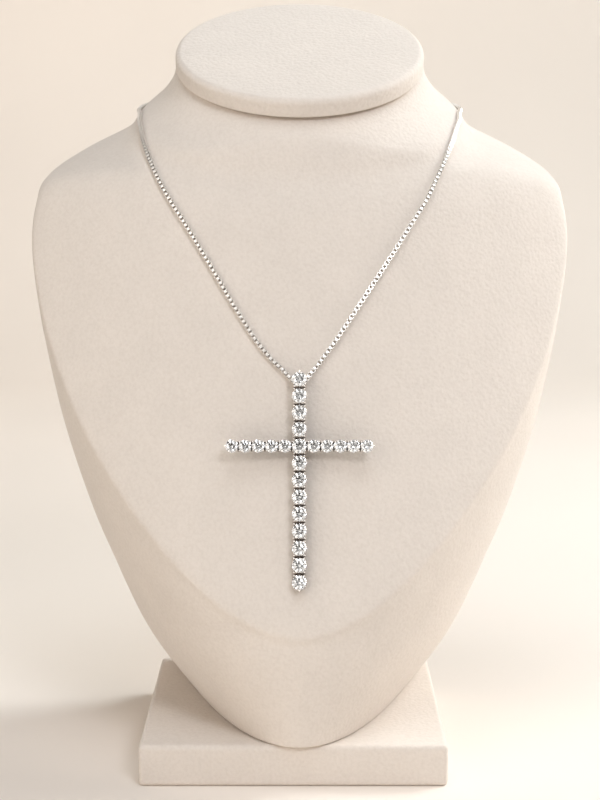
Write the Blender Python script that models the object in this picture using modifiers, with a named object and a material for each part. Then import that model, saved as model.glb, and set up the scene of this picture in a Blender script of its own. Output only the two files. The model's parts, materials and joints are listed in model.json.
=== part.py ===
"""Cross pendant of round brilliants on a box chain, worn on a padded display bust.

Metres, +Z up. X runs to the viewer's right, the bust faces -Y. The origin lies on the underside of
the base block, under the bust's middle plane.
"""
import math
from collections import namedtuple

import bmesh
import bpy
from mathutils import Vector
from mathutils.bvhtree import BVHTree

COLLECTION_NAME = "cross_pendant_necklace"

# Gaps between separate pieces
SEAT_GAP = 0.0003
STONE_GAP = 0.00012

# Base block
BASE_WIDTH = 0.102
BASE_DEPTH = 0.100
BASE_HEIGHT = 0.014
BASE_EDGE = 0.0012
BASE_SHIFT = -0.002

# Bust
BUST_WIDTH = 0.1916
BUST_HEIGHT = 0.2225
BUST_DEPTH = 0.100
CHEST_LEAN = math.radians(19.4)
CHEST_FOOT_Y = -0.058
CHEST_FOOT_HEIGHT = 0.0387
CHEST_RADIUS = 0.143
CREASE_SOFTNESS = 0.0018
NECK_TILT = math.radians(27.0)
FRONT_STEPS = 28
BACK_STEPS = 16
ROWS_PER_SECTION = 2

# Neck cap
CAP_WIDTH = 0.089
CAP_DEPTH = 0.084
CAP_THICKNESS = 0.0076
CAP_CROWN = 0.0006
CAP_FLAT_SHARE = 0.62
CAP_FLAT_DROP_SHARE = 0.25
CAP_EDGE = 0.0022
CAP_SEAM = 0.0008
CAP_STEPS = 40

# Stones
UPRIGHT_STONE = 0.00485
ARM_STONE = 0.0042
UPRIGHT_PITCH = 0.00552
ARM_PITCH = 0.00432
ARM_START = 0.00470
STONES_ABOVE = 4
STONES_BELOW = 8
STONES_PER_ARM = 5
CROWN_ANGLE = math.radians(34.5)
PAVILION_ANGLE = math.radians(40.75)
TABLE_SHARE = 0.57
STAR_SHARE = 0.42
LOWER_SHARE = 0.24
GIRDLE_SHARE = 0.03

# Setting
SETTING_DEPTH = 0.0024
BASKET_SIDES = 10
BASKET_FOOT_SHARE = 0.62
BASKET_RIM_SHARE = 0.97
BASKET_RIM_DROP = 0.00055
BACK_HOLE_SHARE = 0.30
BAR_WIDTH = 0.0015
BAR_HEIGHT = 0.0009
BAR_BITE = 0.0005
BAR_LIFT_SHARE = 0.05
PRONG_RADIUS = 0.00038
PRONG_SIDES = 6
PRONG_SPREAD_SHARE = 0.73
PRONG_ROOT_SHARE = 0.24
PRONG_ROOT_LIFT_SHARE = 0.6
PRONG_RISE = 0.00034
BEAD_LENGTH_SHARE = 0.40
BEAD_WIDTH = 0.0009
BEAD_CROWN = 0.00032
END_PRONG_REACH = 0.0005
END_BEAD_LENGTH = 0.0010

# Bail, a short tube soldered behind the top stone
BAIL_BORE = 0.0023
BAIL_WALL = 0.0004
BAIL_LENGTH = 0.0020
BAIL_DROP = 0.0010
BAIL_SOLDER = 0.0003
BAIL_SIDES = 16
BAIL_REACH = 0.008
BAIL_HEIGHT_ON_BUST = 0.1167
CROSS_FOOT_GAP = 0.0004

# Chain and clasp
CHAIN_WIDTH = 0.00145
CHAIN_GAP = 0.00045
CHAIN_STEP = 0.0054
CHAIN_NECK_TILT = math.radians(10.0)
CHAIN_NECK_SHARE = 0.925
NECK_CENTRE_SHARE = 0.388
NECK_LOOP_STEPS = 16
CURVE_STEPS = 24
CLASP_LENGTH = 0.0100
CLASP_WIDTH = 0.0036
CLASP_THICKNESS = 0.0018

# A section of the bust. height is a share of BUST_HEIGHT, half_width of half BUST_WIDTH, and side
# (the place of its widest line), front and back (its reach from there) of BUST_DEPTH. nose is 1 for
# a parabola and 2 for an ellipse, corner squares the back off, tilt is a share of NECK_TILT, and
# soft of CREASE_SOFTNESS.
Section = namedtuple("Section", "height half_width side front back nose corner tilt soft")
BUST_SECTIONS = (
    Section(0.000, 0.485, 0.420, 0.960, 0.060, 1.00, 8.0, 0.00, 1.0),
    Section(0.044, 0.540, 0.380, 0.935, 0.117, 1.25, 7.5, 0.00, 1.0),
    Section(0.092, 0.590, 0.330, 0.900, 0.186, 1.55, 7.0, 0.00, 1.0),
    Section(0.134, 0.628, 0.300, 0.878, 0.232, 1.80, 6.5, 0.00, 1.0),
    Section(0.175, 0.665, 0.285, 0.868, 0.265, 1.95, 6.0, 0.00, 1.0),
    Section(0.215, 0.7025, 0.280, 0.876, 0.284, 2.00, 6.0, 0.00, 1.0),
    Section(0.298, 0.784, 0.280, 0.888, 0.315, 2.00, 6.0, 0.00, 1.0),
    Section(0.432, 0.884, 0.280, 0.895, 0.366, 2.00, 6.0, 0.00, 1.0),
    Section(0.565, 0.952, 0.280, 0.900, 0.417, 2.00, 5.5, 0.00, 1.0),
    Section(0.662, 0.986, 0.280, 0.900, 0.453, 2.00, 5.0, 0.00, 1.5),
    Section(0.730, 0.998, 0.282, 0.895, 0.475, 2.00, 4.5, 0.00, 3.0),
    Section(0.784, 0.986, 0.300, 0.860, 0.482, 2.00, 4.0, 0.15, 5.0),
    Section(0.823, 0.955, 0.335, 0.780, 0.480, 2.00, 3.6, 0.30, 7.0),
    Section(0.855, 0.834, 0.360, 0.690, 0.470, 2.00, 3.2, 0.44, 8.0),
    Section(0.886, 0.672, 0.380, 0.610, 0.455, 2.00, 2.9, 0.59, 7.0),
    Section(0.919, 0.605, 0.385, 0.540, 0.440, 2.00, 2.7, 0.70, 4.5),
    Section(0.947, 0.528, 0.390, 0.485, 0.425, 2.00, 2.5, 0.81, 2.5),
    Section(0.974, 0.484, 0.392, 0.444, 0.410, 2.00, 2.3, 0.91, 1.2),
    Section(1.000, 0.464, 0.394, 0.410, 0.400, 2.00, 2.2, 1.00, 0.4),
)

# The chain's route on the front, from the side of the neck to the bail. left and right are shares of
# the half width of the neck there, up a share of the height from the bail to the neck.
RoutePoint = namedtuple("RoutePoint", "left right up")
CHAIN_ROUTE = (
    RoutePoint(0.991, 0.985, 0.971),
    RoutePoint(0.970, 0.956, 0.935),
    RoutePoint(0.941, 0.921, 0.888),
    RoutePoint(0.894, 0.868, 0.812),
    RoutePoint(0.833, 0.808, 0.737),
    RoutePoint(0.763, 0.746, 0.663),
    RoutePoint(0.683, 0.669, 0.589),
    RoutePoint(0.536, 0.517, 0.442),
    RoutePoint(0.397, 0.363, 0.296),
    RoutePoint(0.251, 0.210, 0.152),
    RoutePoint(0.157, 0.126, 0.080),
    RoutePoint(0.097, 0.082, 0.045),
)


def clear_scene():
    for old in list(bpy.data.objects):
        bpy.data.objects.remove(old, do_unlink=True)


def make_collection(name):
    collection = bpy.data.collections.new(name)
    bpy.context.scene.collection.children.link(collection)
    return collection


def make_material(name, color, roughness, metallic=0.0):
    material = bpy.data.materials.new(name)
    material.use_nodes = True
    shader = material.node_tree.nodes["Principled BSDF"]
    shader.inputs["Base Color"].default_value = (*color, 1.0)
    shader.inputs["Roughness"].default_value = roughness
    shader.inputs["Metallic"].default_value = metallic
    material.diffuse_color = (*color, 1.0)
    return material


def add_object(name, data, collection, material=None, parent=None):
    obj = bpy.data.objects.new(name, data)
    collection.objects.link(obj)
    if material is not None:
        data.materials.append(material)
    if parent is not None:
        obj.parent = parent
    return obj


def mesh_from(bm, name):
    bmesh.ops.recalc_face_normals(bm, faces=bm.faces)
    mesh = bpy.data.meshes.new(name)
    bm.to_mesh(mesh)
    bm.free()
    return mesh


def smooth(mesh, angle_degrees):
    mesh.shade_smooth()
    mesh.set_sharp_from_angle(angle=math.radians(angle_degrees))


def add_loft(bm, rings):
    """A closed body through rings of equally many points, with flat ends."""
    rows = [[bm.verts.new(point) for point in ring] for ring in rings]
    for low, high in zip(rows, rows[1:]):
        for i in range(len(low)):
            j = (i + 1) % len(low)
            bm.faces.new((low[i], low[j], high[j], high[i]))
    bm.faces.new(list(reversed(rows[0])))
    bm.faces.new(rows[-1])


def add_turned_ring(bm, profile, centre, axis, sides):
    """A closed ring, turned round an axis from the corners of its wall."""
    corners = [bm.verts.new(point) for point in profile]
    edges = [bm.edges.new((corners[i - 1], corners[i])) for i in range(len(corners))]
    bmesh.ops.spin(bm, geom=corners + edges, cent=centre, axis=axis, angle=2 * math.pi,
                   steps=sides, use_merge=True)


def smooth_between(rows, steps):
    """Rows of numbers, with steps - 1 more between each two on a curve through them all."""
    def slope(k, c):
        low = max(k - 1, 0)
        high = min(k + 1, len(rows) - 1)
        return (rows[high][c] - rows[low][c]) / (rows[high][0] - rows[low][0])

    result = []
    for k in range(len(rows) - 1):
        span = rows[k + 1][0] - rows[k][0]
        for step in range(steps):
            t = step / steps
            row = []
            for c in range(len(rows[0])):
                start, end = rows[k][c], rows[k + 1][c]
                rise = span * slope(k, c)
                fall = span * slope(k + 1, c)
                row.append((2 * t**3 - 3 * t**2 + 1) * start + (t**3 - 2 * t**2 + t) * rise
                           + (3 * t**2 - 2 * t**3) * end + (t**3 - t**2) * fall)
            result.append(row)
    result.append(list(rows[-1]))
    return result


def soft_max(a, b, softness):
    return (a + b + math.sqrt((a - b) ** 2 + softness**2)) / 2


def section_ring(section):
    """The outline of one section of the bust, from its left side round the front."""
    half = section.half_width * BUST_WIDTH / 2
    side = section.side * BUST_DEPTH
    height = section.height * BUST_HEIGHT
    front = section.front * BUST_DEPTH
    back = section.back * BUST_DEPTH
    tilt = section.tilt * NECK_TILT
    lean = math.tan(CHEST_LEAN)
    chest_y = CHEST_FOOT_Y + lean * (height - CHEST_FOOT_HEIGHT)
    softness = CREASE_SOFTNESS * section.soft

    def place(u, v):
        return Vector((u, side + v * math.cos(tilt), height + v * math.sin(tilt)))

    ring = []
    for step in range(FRONT_STEPS + 1):
        turn = math.pi * (step / FRONT_STEPS - 0.5)
        u = half * math.sin(turn)
        wall = -front * abs(math.cos(turn)) ** (2 / section.nose)
        bow = u**2 / (2 * CHEST_RADIUS)
        chest = (chest_y + bow - side) / (math.cos(tilt) - lean * math.sin(tilt))
        v = soft_max(wall, chest, softness) if abs(math.cos(turn)) > 1e-6 else 0.0
        ring.append(place(u, min(v, 0.0)))
    for step in range(1, BACK_STEPS):
        turn = math.pi * step / BACK_STEPS
        share = 2 / section.corner
        u = half * math.copysign(abs(math.cos(turn)) ** share, math.cos(turn))
        ring.append(place(u, back * math.sin(turn) ** share))
    return ring


def bust_sections():
    return [Section(*row) for row in smooth_between(BUST_SECTIONS, ROWS_PER_SECTION)]


def make_bust(collection, material):
    bm = bmesh.new()
    add_loft(bm, [section_ring(section) for section in bust_sections()])
    mesh = mesh_from(bm, "bust_body")
    smooth(mesh, 50)
    bust = add_object("bust_body", mesh, collection, material)
    bust.location.z = BASE_HEIGHT + SEAT_GAP
    return bust


def make_base(collection, material):
    bm = bmesh.new()
    bmesh.ops.create_cube(bm, size=1.0)
    bmesh.ops.scale(bm, vec=(BASE_WIDTH, BASE_DEPTH, BASE_HEIGHT), verts=bm.verts)
    base = add_object("base_block", mesh_from(bm, "base_block"), collection, material)
    base.location = (BASE_SHIFT, 0.0, BASE_HEIGHT / 2)
    bevel = base.modifiers.new("rounded_edges", "BEVEL")
    bevel.width = BASE_EDGE
    bevel.segments = 2
    smooth(base.data, 50)
    return base


def turned(name, profile, steps, collection, material=None):
    """A solid turned round Z from (radius, height) points running down its outer side."""
    mesh = bpy.data.meshes.new(name)
    points = [(radius, 0.0, height) for radius, height in profile]
    mesh.from_pydata(points, [(i, i + 1) for i in range(len(points) - 1)], [])
    obj = add_object(name, mesh, collection, material)
    screw = obj.modifiers.new("turn", "SCREW")
    screw.steps = steps
    screw.render_steps = steps
    screw.use_merge_vertices = True
    screw.merge_threshold = 0.00001
    screw.use_smooth_shade = True
    return obj


def make_cap(collection, material, bust):
    radius = CAP_WIDTH / 2
    rim = radius - CAP_EDGE
    profile = [(0.0, CAP_THICKNESS), (CAP_FLAT_SHARE * rim, CAP_THICKNESS - CAP_FLAT_DROP_SHARE * CAP_CROWN)]
    for step in range(4):
        turn = math.radians(30 * step)
        profile.append((rim + CAP_EDGE * math.sin(turn),
                        CAP_THICKNESS - CAP_CROWN - CAP_EDGE * (1 - math.cos(turn))))
    profile.append((radius, CAP_SEAM))
    profile.append((radius - CAP_SEAM, 0.0))
    profile.append((0.0, 0.0))
    cap = turned("neck_cap", profile, CAP_STEPS, collection, material)
    top = BUST_SECTIONS[-1]
    normal = Vector((0.0, -math.sin(NECK_TILT), math.cos(NECK_TILT)))
    seat = Vector((0.0, top.side * BUST_DEPTH, bust.location.z + top.height * BUST_HEIGHT))
    cap.location = seat + normal * SEAT_GAP
    cap.rotation_euler.x = NECK_TILT
    cap.scale.y = CAP_DEPTH / CAP_WIDTH
    return cap


def surface_of(obj):
    """A tree of an object's faces in world space, to find places on its surface."""
    bpy.context.view_layer.update()
    tree_mesh = bmesh.new()
    tree_mesh.from_mesh(obj.data)
    tree_mesh.transform(obj.matrix_world)
    tree = BVHTree.FromBMesh(tree_mesh)
    tree_mesh.free()
    return tree


def chest_at(surface, x, z):
    """The point of the bust's front at x and z, and the way out of it."""
    point, normal, _, _ = surface.ray_cast(Vector((x, -2 * BUST_DEPTH, z)), Vector((0, 1, 0)))
    return point, normal


def stone_heights(diameter):
    radius = diameter / 2
    girdle = GIRDLE_SHARE * diameter / 2
    table = TABLE_SHARE * radius
    top = girdle + (radius - table) * math.tan(CROWN_ANGLE)
    culet = -girdle - radius * math.tan(PAVILION_ANGLE)
    return radius, girdle, table, top, culet


def brilliant_mesh(name, diameter):
    """A round brilliant: table, stars, kites, halves, girdle and pavilion, girdle at z = 0."""
    radius, girdle, table, top, culet = stone_heights(diameter)
    eighth = math.pi / 4
    star = table + STAR_SHARE * (radius - table)
    star_height = top - (star * math.cos(eighth / 2) - table) * math.tan(CROWN_ANGLE)
    lower = LOWER_SHARE * radius
    lower_height = culet + lower * math.cos(eighth / 2) * math.tan(PAVILION_ANGLE)
    bm = bmesh.new()

    def ring(count, ring_radius, height, start=0.0):
        return [bm.verts.new((ring_radius * math.cos(start + 2 * math.pi * k / count),
                              ring_radius * math.sin(start + 2 * math.pi * k / count), height))
                for k in range(count)]

    table_ring = ring(8, table, top)
    star_ring = ring(8, star, star_height, eighth / 2)
    upper = ring(16, radius, girdle)
    under = ring(16, radius, -girdle)
    lower_ring = ring(8, lower, lower_height, eighth / 2)
    tip = bm.verts.new((0, 0, culet))
    bm.faces.new(table_ring)
    for k in range(8):
        n = (k + 1) % 8
        corner, half, after = 2 * k, 2 * k + 1, (2 * k + 2) % 16
        bm.faces.new((table_ring[k], star_ring[k], table_ring[n]))
        bm.faces.new((table_ring[k], star_ring[k - 1], upper[corner], star_ring[k]))
        bm.faces.new((star_ring[k], upper[corner], upper[half]))
        bm.faces.new((star_ring[k], upper[half], upper[after]))
        bm.faces.new((upper[corner], under[corner], under[half], upper[half]))
        bm.faces.new((upper[half], under[half], under[after], upper[after]))
        bm.faces.new((lower_ring[k], under[half], under[corner]))
        bm.faces.new((lower_ring[k], under[after], under[half]))
        bm.faces.new((tip, lower_ring[k], under[corner], lower_ring[k - 1]))
    return mesh_from(bm, name)


Stone = namedtuple("Stone", "name x y diameter")


def cross_stones():
    """Every stone's place in the cross's own plane, from the pivot in the bail."""
    top = BAIL_DROP
    stones = []
    for k in range(STONES_ABOVE + 1 + STONES_BELOW):
        stones.append(Stone(f"stone_upright_{k + 1:02d}", 0.0, top - k * UPRIGHT_PITCH, UPRIGHT_STONE))
    middle = top - STONES_ABOVE * UPRIGHT_PITCH
    for side, sign in (("left", -1), ("right", 1)):
        for k in range(STONES_PER_ARM):
            x = sign * (ARM_START + k * ARM_PITCH)
            stones.append(Stone(f"stone_{side}_{k + 1}", x, middle, ARM_STONE))
    return stones


def girdle_height():
    """How far the stones' girdles stand out from the bail's axis."""
    return SETTING_DEPTH + BAIL_BORE / 2 + BAIL_WALL - BAIL_SOLDER


def add_box(bm, centre, size):
    made = bmesh.ops.create_cube(bm, size=1.0)
    bmesh.ops.scale(bm, vec=size, verts=made["verts"])
    bmesh.ops.translate(bm, vec=centre, verts=made["verts"])


def pavilion_radius(diameter, depth):
    """A stone's radius at a depth below its girdle plane."""
    girdle = GIRDLE_SHARE * diameter / 2
    return diameter / 2 - (depth - girdle) / math.tan(PAVILION_ANGLE)


def setting_back():
    return girdle_height() - SETTING_DEPTH


def baskets():
    """A hollow, open-backed cup under every stone."""
    room = 1 / math.cos(math.pi / BASKET_SIDES)
    rim = girdle_height() - BASKET_RIM_DROP
    bm = bmesh.new()
    for stone in cross_stones():
        radius = stone.diameter / 2
        inner = pavilion_radius(stone.diameter, BASKET_RIM_DROP) + STONE_GAP / math.sin(PAVILION_ANGLE)
        wall = ((BASKET_FOOT_SHARE * radius, setting_back()), (BASKET_RIM_SHARE * radius, rim),
                (inner * room, rim), (BACK_HOLE_SHARE * radius, setting_back()))
        profile = [(stone.x + reach, stone.y, height) for reach, height in wall]
        add_turned_ring(bm, profile, (stone.x, stone.y, 0), (0, 0, 1), BASKET_SIDES)
    return mesh_from(bm, "baskets")


def neighbours():
    """Each two stones next to each other."""
    stones = {stone.name: stone for stone in cross_stones()}
    count = STONES_ABOVE + 1 + STONES_BELOW
    rows = [[stones[f"stone_upright_{k + 1:02d}"] for k in range(count)]]
    middle = rows[0][STONES_ABOVE]
    for side in ("left", "right"):
        rows.append([middle] + [stones[f"stone_{side}_{k + 1}"] for k in range(STONES_PER_ARM)])
    return [pair for row in rows for pair in zip(row, row[1:])]


def bars():
    """A short flat bar between each two baskets, at their feet."""
    bm = bmesh.new()
    for a, b in neighbours():
        start = BASKET_FOOT_SHARE * a.diameter / 2 - BAR_BITE
        end = BASKET_FOOT_SHARE * b.diameter / 2 - BAR_BITE
        gap = Vector((b.x - a.x, b.y - a.y, 0.0))
        way = gap.normalized()
        low = Vector((a.x, a.y, 0.0)) + way * start
        high = Vector((b.x, b.y, 0.0)) - way * end
        centre = (low + high) / 2
        length = (high - low).length
        size = (length, BAR_WIDTH, BAR_HEIGHT) if abs(way.x) > 0.5 else (BAR_WIDTH, length, BAR_HEIGHT)
        add_box(bm, (centre.x, centre.y, setting_back() + (0.5 + BAR_LIFT_SHARE) * BAR_HEIGHT), size)
    return mesh_from(bm, "bars")


Prong = namedtuple("Prong", "root tip along bead")


def prong_between(a, b, sign):
    """One of the two prongs that two neighbouring stones share."""
    gap = Vector((b.x - a.x, b.y - a.y))
    way = gap.normalized()
    side = Vector((-way.y, way.x)) * sign
    between = (a.diameter / 2 + gap.length - b.diameter / 2) / 2
    seat = Vector((a.x, a.y)) + way * between
    size = min(a.diameter, b.diameter)
    return Prong(seat + side * PRONG_ROOT_SHARE * size / 2, seat + side * PRONG_SPREAD_SHARE * size / 2,
                 way, BEAD_LENGTH_SHARE * size)


def end_prong(stone, before):
    """The pointed prong beyond the last stone of a row."""
    way = Vector((stone.x - before.x, stone.y - before.y)).normalized()
    place = Vector((stone.x, stone.y))
    radius = stone.diameter / 2
    root = BASKET_FOOT_SHARE * radius - PRONG_RADIUS / 2
    return Prong(place + way * root, place + way * (radius + END_PRONG_REACH), way, END_BEAD_LENGTH)


def add_prong(bm, prong):
    """A prong from the basket's foot to a low bead that reaches over the stones' edges."""
    across = Vector((-prong.along.y, prong.along.x))
    level = girdle_height()
    foot = setting_back() + PRONG_ROOT_LIFT_SHARE * BAR_HEIGHT
    rings = ((prong.root, foot, 2 * PRONG_RADIUS, 2 * PRONG_RADIUS),
             (prong.tip, level, 2 * PRONG_RADIUS, 2 * PRONG_RADIUS),
             (prong.tip, level + PRONG_RISE, prong.bead, BEAD_WIDTH),
             (prong.tip, level + PRONG_RISE + BEAD_CROWN, 0.5 * prong.bead, 0.5 * BEAD_WIDTH))
    loops = []
    for centre, height, length, width in rings:
        loop = []
        for k in range(PRONG_SIDES):
            turn = 2 * math.pi * k / PRONG_SIDES
            spot = (centre + prong.along * math.cos(turn) * length / 2
                    + across * math.sin(turn) * width / 2)
            loop.append((spot.x, spot.y, height))
        loops.append(loop)
    add_loft(bm, loops)


def prongs(pairs, ends):
    bm = bmesh.new()
    for a, b in pairs:
        for sign in (-1, 1):
            add_prong(bm, prong_between(a, b, sign))
    for stone, before in ends:
        add_prong(bm, end_prong(stone, before))
    return mesh_from(bm, "prongs")


def bail():
    """The short tube that the chain runs through."""
    bore = BAIL_BORE / 2
    outer = bore + BAIL_WALL
    half = BAIL_LENGTH / 2
    bm = bmesh.new()
    profile = [(-half, 0, bore), (half, 0, bore), (half, 0, outer), (-half, 0, outer)]
    add_turned_ring(bm, profile, (0, 0, 0), (1, 0, 0), BAIL_SIDES)
    return mesh_from(bm, "bail")


def make_cross_frame(collection, cutters, material, pivot):
    stones = cross_stones()
    count = STONES_ABOVE + 1 + STONES_BELOW
    upright = stones[:count]
    left = stones[count:count + STONES_PER_ARM]
    right = stones[count + STONES_PER_ARM:]
    pairs = neighbours()
    upright_prongs = prongs(pairs[:count - 1], [(upright[0], upright[1]), (upright[-1], upright[-2])])
    arm_prongs = prongs(pairs[count - 1:], [(left[-1], left[-2]), (right[-1], right[-2])])
    frame = add_object("cross_frame", baskets(), collection, material, pivot)
    for name, mesh in (("bars", bars()), ("upright_prongs", upright_prongs),
                       ("arm_prongs", arm_prongs), ("bail", bail())):
        tool = add_object(f"tool_{name}", mesh, cutters, parent=pivot)
        tool.hide_render = True
        tool.display_type = "WIRE"
        boolean = frame.modifiers.new(name, "BOOLEAN")
        boolean.operation = "UNION"
        boolean.solver = "EXACT"
        boolean.object = tool
    return frame


def make_stones(collection, material, pivot):
    meshes = {diameter: brilliant_mesh(f"brilliant_{round(diameter * 1e5)}", diameter)
              for diameter in sorted({UPRIGHT_STONE, ARM_STONE})}
    for mesh in meshes.values():
        mesh.materials.append(material)
    for stone in cross_stones():
        obj = add_object(stone.name, meshes[stone.diameter], collection, parent=pivot)
        obj.location = (stone.x, stone.y, girdle_height())


def make_pivot(collection, surface, bust):
    """The empty on the bail's axis: local Y runs up the cross and local Z out of its face."""
    outer = BAIL_BORE / 2 + BAIL_WALL
    height = bust.location.z + BAIL_HEIGHT_ON_BUST
    point, normal = chest_at(surface, 0.0, height)
    axis = point + Vector((0.0, normal.y, normal.z)).normalized() * (outer + SEAT_GAP)
    reach = (STONES_ABOVE + STONES_BELOW) * UPRIGHT_PITCH + UPRIGHT_STONE / 2 - BAIL_DROP
    foot, foot_normal = chest_at(surface, 0.0, axis.z - reach * math.cos(CHEST_LEAN))
    foot += Vector((0.0, foot_normal.y, foot_normal.z)).normalized() * CROSS_FOOT_GAP
    down = foot - axis
    lean = math.atan2(-down.y, -down.z) - math.atan2(girdle_height() - SETTING_DEPTH, reach)
    pivot = bpy.data.objects.new("cross_pivot", None)
    pivot.empty_display_size = 0.01
    collection.objects.link(pivot)
    pivot.location = axis
    pivot.rotation_euler.x = math.pi / 2 - lean
    bpy.context.view_layer.update()
    return pivot


def neck_loop(surface, bust):
    """Points round the back of the neck, from its right side to its left."""
    height = bust.location.z + CHAIN_NECK_SHARE * BUST_HEIGHT
    centre = Vector((0.0, NECK_CENTRE_SHARE * BUST_DEPTH, height))
    tilt = CHAIN_NECK_TILT
    offset = CHAIN_WIDTH / 2 + CHAIN_GAP
    points = []
    for step in range(NECK_LOOP_STEPS + 1):
        turn = math.pi * step / NECK_LOOP_STEPS
        way = Vector((math.cos(turn), math.sin(turn) * math.cos(tilt), math.sin(turn) * math.sin(tilt)))
        point, _, _, _ = surface.ray_cast(centre + way * BUST_WIDTH, -way)
        points.append(point + way * offset)
    return points


def chain_route(surface, bust, pivot):
    """Few points of the whole loop, from behind the neck round the front and back again."""
    loop = neck_loop(surface, bust)
    side, bail = loop[0], pivot.location
    offset = CHAIN_WIDTH / 2 + CHAIN_GAP
    left, right = [], []
    for place in CHAIN_ROUTE:
        height = bail.z + place.up * (side.z - bail.z)
        for strand, across in ((left, -place.left), (right, place.right)):
            point, normal = chest_at(surface, across * side.x, height)
            strand.append(point + normal * offset)
    left.append(Vector((-BAIL_LENGTH / 2, bail.y, bail.z)))
    right.append(Vector((BAIL_LENGTH / 2, bail.y, bail.z)))
    middle = len(loop) // 2
    back_to_right = list(reversed(loop[:middle + 1]))
    left_to_back = list(reversed(loop[middle:]))
    return back_to_right + right + [bail.copy()] + list(reversed(left)) + left_to_back


def smooth_curve(points, spacing):
    """Even points on a smooth curve through the route."""
    dense = []
    for k in range(len(points) - 1):
        before = points[max(k - 1, 0)]
        start, end = points[k], points[k + 1]
        after = points[min(k + 2, len(points) - 1)]
        chord = (end - start).length
        rise = (end - before) * chord / max((start - before).length + chord, 1e-9)
        fall = (after - start) * chord / max((after - end).length + chord, 1e-9)
        for step in range(CURVE_STEPS):
            t = step / CURVE_STEPS
            dense.append((2 * t**3 - 3 * t**2 + 1) * start + (t**3 - 2 * t**2 + t) * rise
                         + (3 * t**2 - 2 * t**3) * end + (t**3 - t**2) * fall)
    dense.append(points[-1])
    return resample(dense, spacing)


def resample(points, spacing):
    lengths = [0.0]
    for a, b in zip(points, points[1:]):
        lengths.append(lengths[-1] + (b - a).length)
    count = max(2, round(lengths[-1] / spacing))
    result = []
    k = 0
    for step in range(count + 1):
        target = lengths[-1] * step / count
        while k < len(points) - 2 and lengths[k + 1] < target:
            k += 1
        span = max(lengths[k + 1] - lengths[k], 1e-12)
        result.append(points[k].lerp(points[k + 1], (target - lengths[k]) / span))
    return result


def make_chain(collection, material, points):
    curve = bpy.data.curves.new("chain", "CURVE")
    curve.dimensions = "3D"
    curve.bevel_depth = CHAIN_WIDTH / 2
    curve.bevel_resolution = 2
    curve.use_fill_caps = True
    spline = curve.splines.new("POLY")
    spline.points.add(len(points) - 1)
    for spot, point in zip(spline.points, points):
        spot.co = (*point, 1.0)
    return add_object("chain", curve, collection, material)


def lift_clear(points, surface, offset):
    """The points, with those that lie nearer to a surface than offset pushed out to it."""
    lifted = []
    for point in points:
        near, normal, _, _ = surface.find_nearest(point)
        lack = offset - (point - near).dot(normal)
        lifted.append(point + normal * lack if lack > 0 else point)
    return lifted


def chain_tube_points(route, surface):
    """The tube's points: CHAIN_STEP apart, closer in the bend at the bail, ends at the clasp."""
    fine = lift_clear(smooth_curve(route, CHAIN_WIDTH / 3), surface, CHAIN_WIDTH / 2 + CHAIN_GAP)
    pivot = route[len(route) // 2]
    trim = CLASP_LENGTH / 2 + SEAT_GAP
    walked = [0.0]
    for a, b in zip(fine, fine[1:]):
        walked.append(walked[-1] + (b - a).length)
    total = walked[-1]
    points = []
    last = -1.0
    for point, along in zip(fine, walked):
        if along < trim or along > total - trim:
            continue
        near_bail = (point - pivot).length < BAIL_REACH
        step = CHAIN_WIDTH if near_bail else CHAIN_STEP
        if last < 0 or along - last >= step:
            points.append(point)
            last = along
    return points


def make_clasp(collection, material, surface, route):
    """A plain rounded bar that closes the loop behind the neck."""
    near, normal, _, _ = surface.find_nearest(route[0])
    bm = bmesh.new()
    bmesh.ops.create_cube(bm, size=1.0)
    bmesh.ops.scale(bm, vec=(CLASP_LENGTH, CLASP_THICKNESS, CLASP_WIDTH), verts=bm.verts)
    clasp = add_object("clasp", mesh_from(bm, "clasp"), collection, material)
    bevel = clasp.modifiers.new("rounded", "BEVEL")
    bevel.width = 0.45 * CLASP_THICKNESS
    bevel.segments = 2
    clasp.location = near + normal * (CLASP_THICKNESS / 2 + SEAT_GAP)
    clasp.rotation_euler.x = math.atan2(normal.z, normal.y)
    return clasp


def main():
    clear_scene()
    parts = make_collection(COLLECTION_NAME)
    cutters = make_collection("cutters")
    suede = make_material("cream_suede", (0.76, 0.66, 0.56), 0.9)
    white_metal = make_material("white_metal", (0.80, 0.78, 0.75), 0.18, 1.0)
    stone = make_material("clear_stone", (0.92, 0.94, 0.97), 0.02)

    make_base(parts, suede)
    bust = make_bust(parts, suede)
    make_cap(parts, suede, bust)
    surface = surface_of(bust)
    pivot = make_pivot(parts, surface, bust)
    make_cross_frame(parts, cutters, white_metal, pivot)
    make_stones(parts, stone, pivot)
    route = chain_route(surface, bust, pivot)
    make_chain(parts, white_metal, chain_tube_points(route, surface))
    make_clasp(parts, white_metal, surface, route)
    bpy.context.view_layer.update()


main()
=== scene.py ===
"""Cross pendant on a box chain, worn on a padded display bust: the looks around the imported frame.

Metres, +Z up. The bust faces -Y and X runs to the viewer's right.
"""
import json
import math
from collections import namedtuple

import bmesh
import bpy
import numpy as np
from mathutils import Matrix, Vector
from mathutils.bvhtree import BVHTree


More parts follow.
